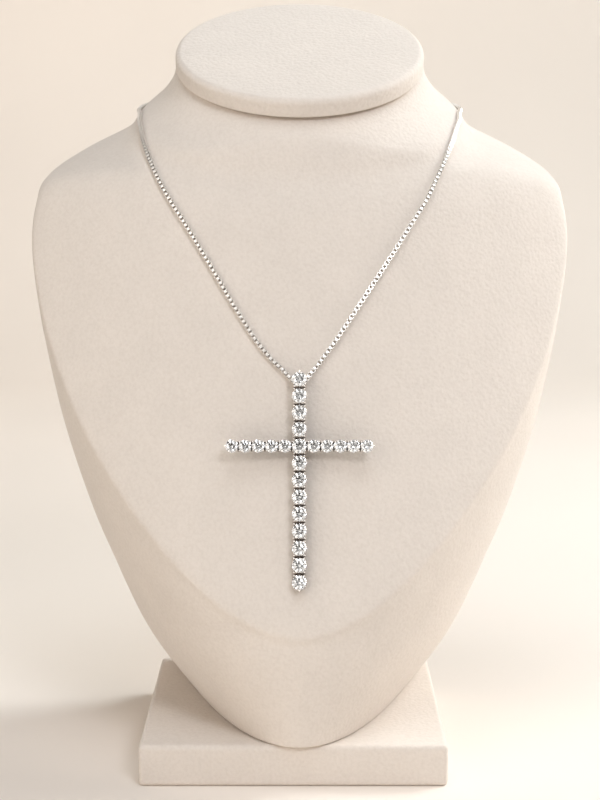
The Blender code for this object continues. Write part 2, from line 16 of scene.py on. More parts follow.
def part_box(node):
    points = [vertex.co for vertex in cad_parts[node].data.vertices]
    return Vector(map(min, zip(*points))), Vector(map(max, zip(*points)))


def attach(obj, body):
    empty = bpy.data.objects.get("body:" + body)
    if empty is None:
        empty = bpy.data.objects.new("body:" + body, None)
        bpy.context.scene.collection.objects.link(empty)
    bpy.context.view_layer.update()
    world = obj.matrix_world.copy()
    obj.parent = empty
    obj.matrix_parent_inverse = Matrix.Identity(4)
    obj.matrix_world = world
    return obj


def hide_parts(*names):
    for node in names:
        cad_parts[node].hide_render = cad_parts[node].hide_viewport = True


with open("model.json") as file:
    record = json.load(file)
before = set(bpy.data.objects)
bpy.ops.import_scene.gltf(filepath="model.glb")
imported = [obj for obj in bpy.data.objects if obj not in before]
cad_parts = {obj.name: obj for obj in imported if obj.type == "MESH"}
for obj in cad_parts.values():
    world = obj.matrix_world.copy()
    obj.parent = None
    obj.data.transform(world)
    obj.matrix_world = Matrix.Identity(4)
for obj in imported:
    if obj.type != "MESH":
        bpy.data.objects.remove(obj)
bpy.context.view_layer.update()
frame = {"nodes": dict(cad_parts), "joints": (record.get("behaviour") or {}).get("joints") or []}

# Bust, as in the part's source
SEAT_GAP = 0.0003
BASE_HEIGHT = 0.014
BUST_WIDTH = 0.1916
BUST_HEIGHT = 0.2225
BUST_DEPTH = 0.100
CHEST_LEAN = math.radians(19.4)
CHEST_FOOT_Y = -0.058
CHEST_FOOT_HEIGHT = 0.0387
CHEST_RADIUS = 0.143
CREASE_SOFTNESS = 0.0018
NECK_TILT = math.radians(27.0)
FRONT_STEPS = 160
BACK_STEPS = 64
ROW_SPACING = 0.0012
RIM_ROUNDING = 0.0006
RIM_STEPS = 4
PANEL_LIP = 0.0010
PANEL_LIP_REACH = 0.0012

CAP_WIDTH = 0.089
CAP_DEPTH = 0.084
CAP_THICKNESS = 0.0076
CAP_CROWN = 0.0006
CAP_EDGE = 0.0022
CAP_UNDER_EDGE = 0.0006
CAP_SEAM_HEIGHT = 0.0004
CAP_SEAM_DEPTH = 0.0016
CAP_STEPS = 160
CAP_EDGE_STEPS = 8
CAP_TOP_STEPS = 12

BASE_EDGE = 0.0016
BASE_EDGE_STEPS = 6
BASE_BORDER = 0.0008

# Cross, as in the part's source
UPRIGHT_STONE = 0.00485
ARM_STONE = 0.0042
UPRIGHT_PITCH = 0.00552
ARM_PITCH = 0.00432
ARM_START = 0.00470
STONES_ABOVE = 4
STONES_BELOW = 8
STONES_PER_ARM = 5
PAVILION_ANGLE = math.radians(40.75)
GIRDLE_SHARE = 0.03
SETTING_DEPTH = 0.0024
BAIL_BORE = 0.0023
BAIL_WALL = 0.0004
BAIL_LENGTH = 0.0020
BAIL_DROP = 0.0010
BAIL_SOLDER = 0.0003

# Setting: cups, claws, bars and bail. reach is a share of the stone's radius, rise of the cup's height.
STONE_GAP = 0.00006
CUP_STEPS = 32
CUP_RIM_DROP = 0.0005
WallPoint = namedtuple("WallPoint", "reach rise")
CUP_OUTSIDE = (
    WallPoint(0.62, 0.00),
    WallPoint(0.66, 0.10),
    WallPoint(0.66, 0.26),
    WallPoint(0.60, 0.37),
    WallPoint(0.72, 0.58),
    WallPoint(0.90, 0.84),
    WallPoint(0.955, 0.95),
    WallPoint(0.96, 1.00),
)
CUP_INSIDE = (WallPoint(0.34, 0.10), WallPoint(0.30, 0.00))
CLAW_RADIUS = 0.00030
CLAW_SIDES = 10
CLAW_LIFT = 0.0002
CLAW_SPREAD_SHARE = 0.36
CLAW_ROOT_SHARE = 0.14
BEAD_ALONG_SHARE = 0.105
BEAD_IN_SHARE = 0.02
BEAD_LENGTH_SHARE = 0.14
BEAD_WIDTH_SHARE = 0.10
BEAD_HEIGHT = 0.00056
BEAD_LEAN = 0.5
BEAD_SIDES = 12
BEAD_RINGS = 8
BAR_RADIUS = 0.00035
BAR_SPREAD = 0.00045
BAR_LIFT = 0.00045
BAR_START_SHARE = 0.5
BRIDGE_RADIUS = 0.0002
BRIDGE_HALF = 0.0005
BRIDGE_DROP = 0.0007
END_ROOT_SHARE = 0.55
END_REACH = 0.0002
END_BEAD_SIZE = (0.0011, 0.0007, 0.0006)
BAIL_ROUNDING = 0.0001
BAIL_STEPS = 40

# Chain: links of flat wire bent to a square ring, whose pitch is their inner length
CHAIN_WIDTH = 0.00145
CHAIN_GAP = 0.0002
CHAIN_NECK_TILT = math.radians(10.0)
CHAIN_NECK_SHARE = 0.925
NECK_CENTRE_SHARE = 0.388
NECK_LOOP_STEPS = 16
CURVE_STEPS = 24
LINK_LENGTH = 0.00120
LINK_WIRE = 0.00016
LINK_STRIP = 0.00090
LINK_CORNER = 0.00016
LINK_CHAMFER = 0.00004
LINK_BEND_STEPS = 2
LINK_PLAY = 0.00001
LINK_PITCH = LINK_LENGTH - 2 * LINK_WIRE - LINK_PLAY
LINK_TURN_REACH = 8

# Clasp: a plain bar with a ring at each end, which the last links hang in
CLASP_LENGTH = 0.0100
CLASP_WIDTH = 0.0034
CLASP_THICKNESS = 0.0016
CLASP_FULLNESS = 0.4
CLASP_RING = 0.00065
CLASP_RING_WIRE = 0.00025
CLASP_STEPS = 24
CLASP_SIDES = 10

# Sections of the bust and places of the chain, as in the part's source
Section = namedtuple("Section", "height half_width side front back nose corner tilt soft")
BUST_SECTIONS = (
    Section(0.000, 0.485, 0.420, 0.960, 0.060, 1.00, 8.0, 0.00, 1.0),
    Section(0.044, 0.540, 0.380, 0.935, 0.117, 1.25, 7.5, 0.00, 1.0),
    Section(0.092, 0.590, 0.330, 0.900, 0.186, 1.55, 7.0, 0.00, 1.0),
    Section(0.134, 0.628, 0.300, 0.878, 0.232, 1.80, 6.5, 0.00, 1.0),
    Section(0.175, 0.665, 0.285, 0.868, 0.265, 1.95, 6.0, 0.00, 1.0),
    Section(0.215, 0.7025, 0.280, 0.876, 0.284, 2.00, 6.0, 0.00, 1.0),
    Section(0.298, 0.784, 0.280, 0.888, 0.315, 2.00, 6.0, 0.00, 1.0),
    Section(0.432, 0.884, 0.280, 0.895, 0.366, 2.00, 6.0, 0.00, 1.0),
    Section(0.565, 0.952, 0.280, 0.900, 0.417, 2.00, 5.5, 0.00, 1.0),
    Section(0.662, 0.986, 0.280, 0.900, 0.453, 2.00, 5.0, 0.00, 1.5),
    Section(0.730, 0.998, 0.282, 0.895, 0.475, 2.00, 4.5, 0.00, 3.0),
    Section(0.784, 0.986, 0.300, 0.860, 0.482, 2.00, 4.0, 0.15, 5.0),
    Section(0.823, 0.955, 0.335, 0.780, 0.480, 2.00, 3.6, 0.30, 7.0),
    Section(0.855, 0.834, 0.360, 0.690, 0.470, 2.00, 3.2, 0.44, 8.0),
    Section(0.886, 0.672, 0.380, 0.610, 0.455, 2.00, 2.9, 0.59, 7.0),
    Section(0.919, 0.605, 0.385, 0.540, 0.440, 2.00, 2.7, 0.70, 4.5),
    Section(0.947, 0.528, 0.390, 0.485, 0.425, 2.00, 2.5, 0.81, 2.5),
    Section(0.974, 0.484, 0.392, 0.444, 0.410, 2.00, 2.3, 0.91, 1.2),
    Section(1.000, 0.464, 0.394, 0.410, 0.400, 2.00, 2.2, 1.00, 0.4),
)

RoutePoint = namedtuple("RoutePoint", "left right up")
CHAIN_ROUTE = (
    RoutePoint(0.991, 0.985, 0.971),
    RoutePoint(0.970, 0.956, 0.935),
    RoutePoint(0.941, 0.921, 0.888),
    RoutePoint(0.894, 0.868, 0.812),
    RoutePoint(0.833, 0.808, 0.737),
    RoutePoint(0.763, 0.746, 0.663),
    RoutePoint(0.683, 0.669, 0.589),
    RoutePoint(0.536, 0.517, 0.442),
    RoutePoint(0.397, 0.363, 0.296),
    RoutePoint(0.251, 0.210, 0.152),
    RoutePoint(0.157, 0.126, 0.080),
    RoutePoint(0.097, 0.082, 0.045),
)

# Colours, as linear red, green and blue
SUEDE_COLOR = (0.80, 0.725, 0.655)
METAL_COLOR = (0.90, 0.87, 0.83)
# Painted shade: a dark metal colour for the hollows of the links and the parts under the stones, where
# shade falls between the parts
PAINTED_SHADE_COLOR = (0.20, 0.17, 0.15)
PAPER_COLOR = (0.88, 0.81, 0.74)
SURROUND_COLOR = (0.80, 0.74, 0.67)
DIM_COLOR = (0.03, 0.025, 0.02)
BRIGHT_COLOR = (1.0, 0.98, 0.95)

# Studio
STAGE_FRONT = -0.75
STAGE_BEND = 0.9
STAGE_RADIUS = 0.4
STAGE_TOP = 2.0
STAGE_HALF = 1.0
STAGE_STEPS = 12
SURROUND_RADIUS = 6.0
SURROUND_STEPS = 4
PATCH_SCALE = 3.5
PATCH_DIM_END = 0.44
PATCH_BRIGHT_START = 0.56
LIGHT_TARGET = (0.0, 0.0, 0.14)
BACKDROP_TARGET = (-0.25, 1.30, 0.40)
CAMERA_LENS = 78.2
CAMERA_SENSOR = 36.0
CAMERA_NEAR = 0.01
CAMERA_PLACE = (0.0010, -0.598, 0.210)
CAMERA_DIP = math.radians(8.42)
CAMERA_TURN = math.radians(0.079)


# Materials

class Nodes:
    """A material and short ways to add to its nodes."""

    def __init__(self, name):
        self.material = bpy.data.materials.new(name)
        self.material.use_nodes = True
        self.tree = self.material.node_tree
        self.shader = self.tree.nodes["Principled BSDF"]
        self.place = self.tree.nodes.new("ShaderNodeTexCoord")

    def link(self, source, output, target, field):
        self.tree.links.new(source.outputs[output], target.inputs[field])

    def set(self, **values):
        for name, value in values.items():
            self.shader.inputs[name.replace("_", " ")].default_value = value

    def noise(self, scale, detail=2.0, roughness=0.5):
        node = self.tree.nodes.new("ShaderNodeTexNoise")
        node.inputs["Scale"].default_value = scale
        node.inputs["Detail"].default_value = detail
        node.inputs["Roughness"].default_value = roughness
        self.link(self.place, "Object", node, "Vector")
        return node

    def cells(self, scale):
        node = self.tree.nodes.new("ShaderNodeTexVoronoi")
        node.feature = "SMOOTH_F1"
        node.inputs["Scale"].default_value = scale
        self.link(self.place, "Object", node, "Vector")
        return node

    def ramp(self, source, output, stops):
        node = self.tree.nodes.new("ShaderNodeValToRGB")
        ramp = node.color_ramp
        while len(ramp.elements) < len(stops):
            ramp.elements.new(0.5)
        for element, (spot, color) in zip(ramp.elements, stops):
            element.position = spot
            element.color = (*color, 1.0)
        self.link(source, output, node, "Fac")
        return node

    def multiply(self, first, second, factor):
        node = self.tree.nodes.new("ShaderNodeMix")
        node.data_type = "RGBA"
        node.blend_type = "MULTIPLY"
        node.inputs["Factor"].default_value = factor
        self.tree.links.new(first.outputs["Color"], node.inputs["A"])
        self.tree.links.new(second.outputs["Color"], node.inputs["B"])
        return node

    def bump(self, source, output, strength, distance, before=None):
        node = self.tree.nodes.new("ShaderNodeBump")
        node.inputs["Strength"].default_value = strength
        node.inputs["Distance"].default_value = distance
        self.link(source, output, node, "Height")
        if before is not None:
            self.link(before, "Normal", node, "Normal")
        return node


def shade(color, share):
    return tuple(min(1.0, c * share) for c in color)


def suede(name, color):
    """Fine matt suede: faint mottling, short nap and a fine grain."""
    nodes = Nodes(name)
    mottle = nodes.noise(70.0, 3.0, 0.5)
    nap = nodes.noise(900.0, 3.0, 0.6)
    pores = nodes.cells(800.0)
    tone = nodes.ramp(mottle, "Fac", ((0.30, shade(color, 0.98)), (0.70, shade(color, 1.015))))
    fleck = nodes.ramp(nap, "Fac", ((0.30, (0.93, 0.92, 0.91)), (0.60, (1.0, 1.0, 1.0))))
    mix = nodes.multiply(tone, fleck, 0.8)
    nodes.link(mix, "Result", nodes.shader, "Base Color")
    first = nodes.bump(pores, "Distance", 0.45, 0.00030)
    second = nodes.bump(nap, "Fac", 0.45, 0.00032, first)
    third = nodes.bump(mottle, "Fac", 0.05, 0.0010, second)
    nodes.link(third, "Normal", nodes.shader, "Normal")
    nodes.set(Roughness=0.88, Sheen_Weight=0.12, Sheen_Roughness=0.5, Specular_IOR_Level=0.25)
    return nodes.material


def polished_metal(name, color, roughness):
    """White metal with the fine, uneven polish of cast and drawn pieces."""
    nodes = Nodes(name)
    wear = nodes.noise(1800.0, 3.0, 0.6)
    tone = nodes.ramp(wear, "Fac", ((0.35, shade(color, 0.92)), (0.65, color)))
    nodes.link(tone, "Color", nodes.shader, "Base Color")
    gloss = nodes.tree.nodes.new("ShaderNodeMapRange")
    gloss.inputs["To Min"].default_value = roughness * 0.7
    gloss.inputs["To Max"].default_value = roughness * 1.5
    nodes.link(wear, "Fac", gloss, "Value")
    nodes.link(gloss, "Result", nodes.shader, "Roughness")
    bump = nodes.bump(wear, "Fac", 0.08, 0.00005)
    nodes.link(bump, "Normal", nodes.shader, "Normal")
    nodes.set(Metallic=1.0)
    return nodes.material


def clear_stone(name):
    """Colourless cut stone, with the faintest cloud in it."""
    nodes = Nodes(name)
    cloud = nodes.noise(900.0, 1.0)
    tone = nodes.ramp(cloud, "Fac", ((0.3, (0.97, 0.98, 1.0)), (0.7, (1.0, 1.0, 1.0))))
    nodes.link(tone, "Color", nodes.shader, "Base Color")
    nodes.set(Roughness=0.0, IOR=2.42, Transmission_Weight=1.0)
    return nodes.material


def pale_paper(name, color):
    nodes = Nodes(name)
    cloud = nodes.noise(3.0, 1.0)
    tone = nodes.ramp(cloud, "Fac", ((0.3, shade(color, 0.97)), (0.7, shade(color, 1.02))))
    nodes.link(tone, "Color", nodes.shader, "Base Color")
    nodes.set(Roughness=0.8)
    return nodes.material


# Meshes

def make_piece(name, mesh, materials, body, slot, smooth_angle, *replaced):
    """An object of the part, with its materials, body and the nodes it stands for; the finish slot argument
    is not used.
    """
    piece = bpy.data.objects.new(name, mesh)
    bpy.context.scene.collection.objects.link(piece)
    for material in materials:
        mesh.materials.append(material)
    mesh.shade_smooth()
    mesh.set_sharp_from_angle(angle=math.radians(smooth_angle))
    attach(piece, body)
    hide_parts(*replaced)
    return piece


def mesh_from(bm, name):
    bmesh.ops.recalc_face_normals(bm, faces=bm.faces)
    mesh = bpy.data.meshes.new(name)
    bm.to_mesh(mesh)
    bm.free()
    return mesh


def circle(steps):
    """Even directions round a circle, as (cosine, sine)."""
    turns = [2 * math.pi * k / steps for k in range(steps)]
    return [(math.cos(turn), math.sin(turn)) for turn in turns]


def add_walls(bm, low, high):
    for i in range(len(low)):
        j = (i + 1) % len(low)
        bm.faces.new((low[i], low[j], high[j], high[i]))


def add_loft(bm, rings):
    """A closed body through rings of equally many points, with flat ends."""
    rows = [[bm.verts.new(point) for point in ring] for ring in rings]
    for low, high in zip(rows, rows[1:]):
        add_walls(bm, low, high)
    bm.faces.new(list(reversed(rows[0])))
    bm.faces.new(rows[-1])


def add_turned(bm, profile, place, steps):
    """A closed ring from the corners of its wall, turned round Z and then moved by a matrix."""
    rows = []
    for radius, height in profile:
        ring = [Vector((radius * c, radius * s, height)) for c, s in circle(steps)]
        rows.append([bm.verts.new(place @ point) for point in ring])
    for k in range(len(rows)):
        add_walls(bm, rows[k - 1], rows[k])


def add_post(bm, low, high, radius, sides):
    """A straight round wire between two points."""
    turn = (high - low).to_track_quat("Z", "Y").to_matrix()
    ring = [turn @ Vector((radius * c, radius * s, 0)) for c, s in circle(sides)]
    add_loft(bm, [[end + point for point in ring] for end in (low, high)])


def smooth_between(rows, spacing):
    """Rows of numbers, with more between each two on a curve through them all."""
    def slope(k, c):
        low = max(k - 1, 0)
        high = min(k + 1, len(rows) - 1)
        return (rows[high][c] - rows[low][c]) / (rows[high][0] - rows[low][0])

    result = []
    for k in range(len(rows) - 1):
        span = rows[k + 1][0] - rows[k][0]
        steps = math.ceil(span / spacing)
        for step in range(steps):
            t = step / steps
            row = []
            for c in range(len(rows[0])):
                start, end = rows[k][c], rows[k + 1][c]
                rise = span * slope(k, c)
                fall = span * slope(k + 1, c)
                row.append((2 * t**3 - 3 * t**2 + 1) * start + (t**3 - 2 * t**2 + t) * rise
                           + (3 * t**2 - 2 * t**3) * end + (t**3 - t**2) * fall)
            result.append(row)
    result.append(list(rows[-1]))
    return result


# Bust, cap and base

def soft_max(a, b, softness):
    return (a + b + math.sqrt((a - b) ** 2 + softness**2)) / 2


def section_ring(section, inset=0.0):
    """The outline of one section of the bust, from its left side round the front."""
    half = section.half_width * BUST_WIDTH / 2 - inset
    side = section.side * BUST_DEPTH
    height = section.height * BUST_HEIGHT
    front = section.front * BUST_DEPTH - inset
    back = section.back * BUST_DEPTH - inset
    tilt = section.tilt * NECK_TILT
    lean = math.tan(CHEST_LEAN)
    chest_y = CHEST_FOOT_Y + lean * (height - CHEST_FOOT_HEIGHT)
    softness = CREASE_SOFTNESS * section.soft
    lift = BASE_HEIGHT + SEAT_GAP

    def place(u, v):
        return Vector((u, side + v * math.cos(tilt), lift + height + v * math.sin(tilt)))

    ring = []
    for step in range(FRONT_STEPS + 1):
        turn = math.pi * (step / FRONT_STEPS - 0.5)
        u = half * math.sin(turn)
        wall = -front * abs(math.cos(turn)) ** (2 / section.nose)
        bow = u**2 / (2 * CHEST_RADIUS)
        chest = (chest_y + bow - side) / (math.cos(tilt) - lean * math.sin(tilt))
        v = soft_max(wall, chest, softness) if abs(math.cos(turn)) > 1e-6 else 0.0
        beyond = min(max((wall - chest) / PANEL_LIP_REACH, 0.0), 1.0)
        v += PANEL_LIP / section.soft * beyond**2 * (3 - 2 * beyond)
        ring.append(place(u, min(v, 0.0)))
    for step in range(1, BACK_STEPS):
        turn = math.pi * step / BACK_STEPS
        share = 2 / section.corner
        u = half * math.copysign(abs(math.cos(turn)) ** share, math.cos(turn))
        ring.append(place(u, back * math.sin(turn) ** share))
    return ring


def between(a, b, t):
    return Section(*(p + t * (q - p) for p, q in zip(a, b)))


def make_bust(material):
    """The cloth-covered bust, with its lower and upper rims slightly rounded."""
    rows = [Section(*row) for row in smooth_between(BUST_SECTIONS, ROW_SPACING / BUST_HEIGHT)]
    foot, head = [], []
    for step in range(RIM_STEPS):
        turn = math.pi / 2 * step / RIM_STEPS
        rise = RIM_ROUNDING * (1 - math.cos(turn)) / ROW_SPACING
        inset = RIM_ROUNDING * (1 - math.sin(turn))
        foot.append(section_ring(between(rows[0], rows[1], rise), inset))
        head.append(section_ring(between(rows[-1], rows[-2], rise), inset))
    bm = bmesh.new()
    add_loft(bm, foot + [section_ring(row) for row in rows[1:-1]] + head[::-1])
    mesh = mesh_from(bm, "bust_cover")
    return make_piece("bust_cover", mesh, [material], "display", "cream_suede", 60, "bust_body")


def cap_frame():
    """The place and tilt of the neck's top."""
    top = BUST_SECTIONS[-1]
    normal = Vector((0.0, -math.sin(NECK_TILT), math.cos(NECK_TILT)))
    seat = Vector((0.0, top.side * BUST_DEPTH, BASE_HEIGHT + SEAT_GAP + top.height * BUST_HEIGHT))
    place = Matrix.Translation(seat + normal * SEAT_GAP)
    return place @ Matrix.Rotation(NECK_TILT, 4, "X") @ Matrix.Diagonal((1, CAP_DEPTH / CAP_WIDTH, 1, 1))


def make_cap(material):
    """The padded disc: crowned, with a full, rounded edge above a seam that is let into its foot."""
    radius = CAP_WIDTH / 2
    rim = radius - CAP_EDGE
    shoulder = CAP_THICKNESS - CAP_CROWN - CAP_EDGE
    profile = [(radius - CAP_SEAM_DEPTH, 0.0), (radius - CAP_SEAM_DEPTH, CAP_SEAM_HEIGHT)]
    for step in range(RIM_STEPS + 1):
        turn = math.pi / 2 * step / RIM_STEPS
        rise = CAP_SEAM_HEIGHT + CAP_UNDER_EDGE * (1 - math.cos(turn))
        profile.append((radius - CAP_UNDER_EDGE * (1 - math.sin(turn)), rise))
    profile.append((radius, (CAP_SEAM_HEIGHT + CAP_UNDER_EDGE + shoulder) / 2))
    for step in range(CAP_EDGE_STEPS + 1):
        turn = math.pi / 2 * step / CAP_EDGE_STEPS
        profile.append((rim + CAP_EDGE * math.cos(turn), shoulder + CAP_EDGE * math.sin(turn)))
    for step in range(1, CAP_TOP_STEPS):
        share = 1 - step / CAP_TOP_STEPS
        profile.append((rim * share, CAP_THICKNESS - CAP_CROWN * share**3))
    rings = []
    for reach, height in profile:
        rings.append([Vector((reach * c, reach * s, height)) for c, s in circle(CAP_STEPS)])
    bm = bmesh.new()
    add_loft(bm, rings)
    bm.transform(cap_frame())
    mesh = mesh_from(bm, "neck_cap_pad")
    cap = make_piece("neck_cap_pad", mesh, [material], "display", "cream_suede", 60, "neck_cap")


def make_base(material):
    """The square block with soft edges; a border beside each keeps its broad faces flat."""
    low, high = (Vector(corner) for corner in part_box("base_block"))
    bm = bmesh.new()
    bmesh.ops.create_cube(bm, size=1.0)
    bmesh.ops.scale(bm, vec=high - low, verts=bm.verts)
    bmesh.ops.translate(bm, vec=(low + high) / 2, verts=bm.verts)
    bmesh.ops.bevel(bm, geom=bm.edges[:], offset=BASE_EDGE, segments=BASE_EDGE_STEPS, profile=0.5,
                    affect="EDGES")
    broad = sorted(bm.faces, key=lambda face: face.calc_area())[-6:]
    bmesh.ops.inset_individual(bm, faces=broad, thickness=BASE_BORDER)
    mesh = mesh_from(bm, "base_cover")
    make_piece("base_cover", mesh, [material], "display", "cream_suede", 60, "base_block")


# The chain's path

def surface_of(obj):
    """A tree of an object's faces in world space, to find places on its surface."""
    bpy.context.view_layer.update()
    tree_mesh = bmesh.new()
    tree_mesh.from_mesh(obj.data)
    tree_mesh.transform(obj.matrix_world)
    tree = BVHTree.FromBMesh(tree_mesh)
    tree_mesh.free()
    return tree


def neck_loop(surface):
    """Points round the back of the neck, from its right side to its left."""
    height = BASE_HEIGHT + SEAT_GAP + CHAIN_NECK_SHARE * BUST_HEIGHT
    centre = Vector((0.0, NECK_CENTRE_SHARE * BUST_DEPTH, height))
    tilt = CHAIN_NECK_TILT
    offset = CHAIN_WIDTH / 2 + CHAIN_GAP
    points = []
    for step in range(NECK_LOOP_STEPS + 1):
        turn = math.pi * step / NECK_LOOP_STEPS
        back = math.sin(turn)
        way = Vector((math.cos(turn), back * math.cos(tilt), back * math.sin(tilt)))
        point, _, _, _ = surface.ray_cast(centre + way * BUST_WIDTH, -way)
        points.append(point + way * offset)
    return points


def chain_route(surface, bail):
    """Few points of the whole loop, from behind the neck round the front and back again."""
    loop = neck_loop(surface)
    side = loop[0]
    offset = CHAIN_WIDTH / 2 + CHAIN_GAP
    left, right = [], []
    for place in CHAIN_ROUTE:
        height = bail.z + place.up * (side.z - bail.z)
        for strand, across in ((left, -place.left), (right, place.right)):
            eye = Vector((across * side.x, -2 * BUST_DEPTH, height))
            point, normal, _, _ = surface.ray_cast(eye, Vector((0, 1, 0)))
            strand.append(point + normal * offset)
    left.append(Vector((-BAIL_LENGTH / 2, bail.y, bail.z)))
    right.append(Vector((BAIL_LENGTH / 2, bail.y, bail.z)))
    middle = len(loop) // 2
    front = right + [bail.copy()] + list(reversed(left))
    return list(reversed(loop[:middle + 1])) + front + list(reversed(loop[middle:]))


def smooth_curve(points):
    dense = []
    for k in range(len(points) - 1):
        before = points[max(k - 1, 0)]
        start, end = points[k], points[k + 1]
        after = points[min(k + 2, len(points) - 1)]
        chord = (end - start).length
        rise = (end - before) * chord / max((start - before).length + chord, 1e-9)
        fall = (after - start) * chord / max((after - end).length + chord, 1e-9)
        for step in range(CURVE_STEPS):
            t = step / CURVE_STEPS
            dense.append((2 * t**3 - 3 * t**2 + 1) * start + (t**3 - 2 * t**2 + t) * rise
                         + (3 * t**2 - 2 * t**3) * end + (t**3 - t**2) * fall)
    dense.append(points[-1])
    return dense


def walked_along(points):
    walked = [0.0]
    for a, b in zip(points, points[1:]):
        walked.append(walked[-1] + (b - a).length)
    return walked


def resample(points, spacing):
    lengths = walked_along(points)
    count = max(2, round(lengths[-1] / spacing))
    result = []
    k = 0
    for step in range(count + 1):
        target = lengths[-1] * step / count
        while k < len(points) - 2 and lengths[k + 1] < target:
            k += 1
        span = max(lengths[k + 1] - lengths[k], 1e-12)
        result.append(points[k].lerp(points[k + 1], (target - lengths[k]) / span))
    return result


def lift_clear(points, surface, offset):
    """The points, with those that lie nearer to a surface than offset pushed out to it."""
    lifted = []
    for point in points:
        near, normal, _, _ = surface.find_nearest(point)
        lack = offset - (point - near).dot(normal)
        lifted.append(point + normal * lack if lack > 0 else point)
    return lifted


def cut_ends(points, trim):
    """The stretch of a path that is left when trim comes off both its ends."""
    walked = walked_along(points)
    return [p for p, along in zip(points, walked) if trim <= along <= walked[-1] - trim]


def link_template():
    """A link's corners, its faces and which of them lie on the ring's inner side, where shade is painted
    dark. Its ring lies in XY, its strip along Z.
    """
    length = LINK_LENGTH / 2 - LINK_WIRE / 2 - LINK_CORNER
    width = CHAIN_WIDTH / 2 - LINK_WIRE / 2 - LINK_CORNER
    path = []
    corner_middles = ((length, width), (-length, width), (-length, -width), (length, -width))
    for quarter, middle in enumerate(corner_middles):
        for step in range(LINK_BEND_STEPS + 1):
            turn = math.pi / 2 * (quarter + step / LINK_BEND_STEPS)
            way = Vector((math.cos(turn), math.sin(turn)))
            path.append((Vector(middle) + way * LINK_CORNER, way))
    t, w, c = LINK_WIRE / 2, LINK_STRIP / 2, LINK_CHAMFER
    outline = ((t - c, w), (t, w - c), (t, c - w), (t - c, -w),
               (c - t, -w), (-t, c - w), (-t, w - c), (c - t, w))
    corners = [(spot.x + way.x * u, spot.y + way.y * u, v) for spot, way in path for u, v in outline]
    count = len(outline)
    faces, painted_shade_faces = [], []
    for i in range(len(path)):
        n = (i + 1) % len(path)
        for j in range(count):
            m = (j + 1) % count
            faces.append((i * count + j, i * count + m, n * count + m, n * count + j))
            # Faces on the ring's inner side are marked for the dark painted-shade metal
            painted_shade_faces.append(int(max(outline[j][0], outline[m][0]) < 0))
    return np.array(corners), np.array(faces), np.array(painted_shade_faces)


def make_chain(materials, surface, bail):
    """Square links, each turned a quarter against the last, on the chain's path."""
    route = smooth_curve(chain_route(surface, bail))
    fine = lift_clear(resample(route, CHAIN_WIDTH / 3), surface, CHAIN_WIDTH / 2 + CHAIN_GAP)
    fine = cut_ends(fine, CLASP_LENGTH / 2 - CLASP_RING - CLASP_RING_WIRE + LINK_WIRE / 2)
    spots = resample(fine, LINK_PITCH)
    normals = [surface.find_nearest(spot)[1] for spot in spots]
    corners, faces, painted_shade_faces = link_template()
    all_corners, all_faces = [], []
    for k, spot in enumerate(spots):
        way = (spots[min(k + 1, len(spots) - 1)] - spots[max(k - 1, 0)]).normalized()
        out = Vector((0, 0, 0))
        for near in normals[max(0, k - LINK_TURN_REACH):k + LINK_TURN_REACH + 1]:
            out += near
        across = out.cross(way).normalized()
        out = way.cross(across)
        basis = Matrix((way, across, out)) if k % 2 == 0 else Matrix((way, out, -across))
        all_faces.append(faces + len(corners) * k)
        all_corners.append(corners @ np.array(basis) + np.array(spot))
    mesh = bpy.data.meshes.new("chain_links")
    mesh.from_pydata(np.concatenate(all_corners).tolist(), [], np.concatenate(all_faces).tolist())
    # The inner faces take the second material: painted shade for the dark gaps between the links
    mesh.polygons.foreach_set("material_index", np.tile(painted_shade_faces, len(spots)))
    make_piece("chain_links", mesh, materials, "display", "white_metal", 35, "chain")


def make_clasp(material):
    """A plain round-ended bar behind the neck, with a ring at each end."""
    low, high = (Vector(corner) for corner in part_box("clasp"))
    mesh = frame["nodes"]["clasp"].data
    back = max(mesh.polygons, key=lambda face: face.area).normal
    middle = (low + high) / 2
    turn = Matrix.Rotation(math.atan2(back.z, back.y), 4, "X")
    place = Matrix.Translation(middle) @ turn
    ring_place = CLASP_LENGTH / 2 - CLASP_RING - CLASP_RING_WIRE
    half = ring_place - CLASP_RING
    bm = bmesh.new()
    rings = []
    for step in range(1, CLASP_STEPS):
        along = math.pi * step / CLASP_STEPS
        reach = math.sin(along) ** CLASP_FULLNESS
        rings.append([place @ Vector((-half * math.cos(along), CLASP_THICKNESS / 2 * reach * c,
                                      CLASP_WIDTH / 2 * reach * s)) for c, s in circle(CLASP_STEPS)])
    add_loft(bm, rings)
    for sign in (-1, 1):
        wire = [(CLASP_RING + CLASP_RING_WIRE * c, CLASP_RING_WIRE * s) for c, s in circle(CLASP_SIDES)]
        flat = place @ Matrix.Translation((sign * ring_place, 0, 0)) @ Matrix.Rotation(math.pi / 2, 4, "X")
        add_turned(bm, wire, flat, CLASP_STEPS)
    mesh = mesh_from(bm, "clasp_bar")
    make_piece("clasp_bar", mesh, [material], "display", "white_metal", 50, "clasp")


# The cross's setting

Stone = namedtuple("Stone", "x y diameter")


def cross_rows():
    """The stones of the upright and of each arm, from the pivot in the bail."""
    upright = [Stone(0.0, BAIL_DROP - k * UPRIGHT_PITCH, UPRIGHT_STONE)
               for k in range(STONES_ABOVE + 1 + STONES_BELOW)]
    middle = upright[STONES_ABOVE]
    arms = []
    for sign in (-1, 1):
        arms.append([middle] + [Stone(sign * (ARM_START + k * ARM_PITCH), middle.y, ARM_STONE)
                                for k in range(STONES_PER_ARM)])
    return upright, arms


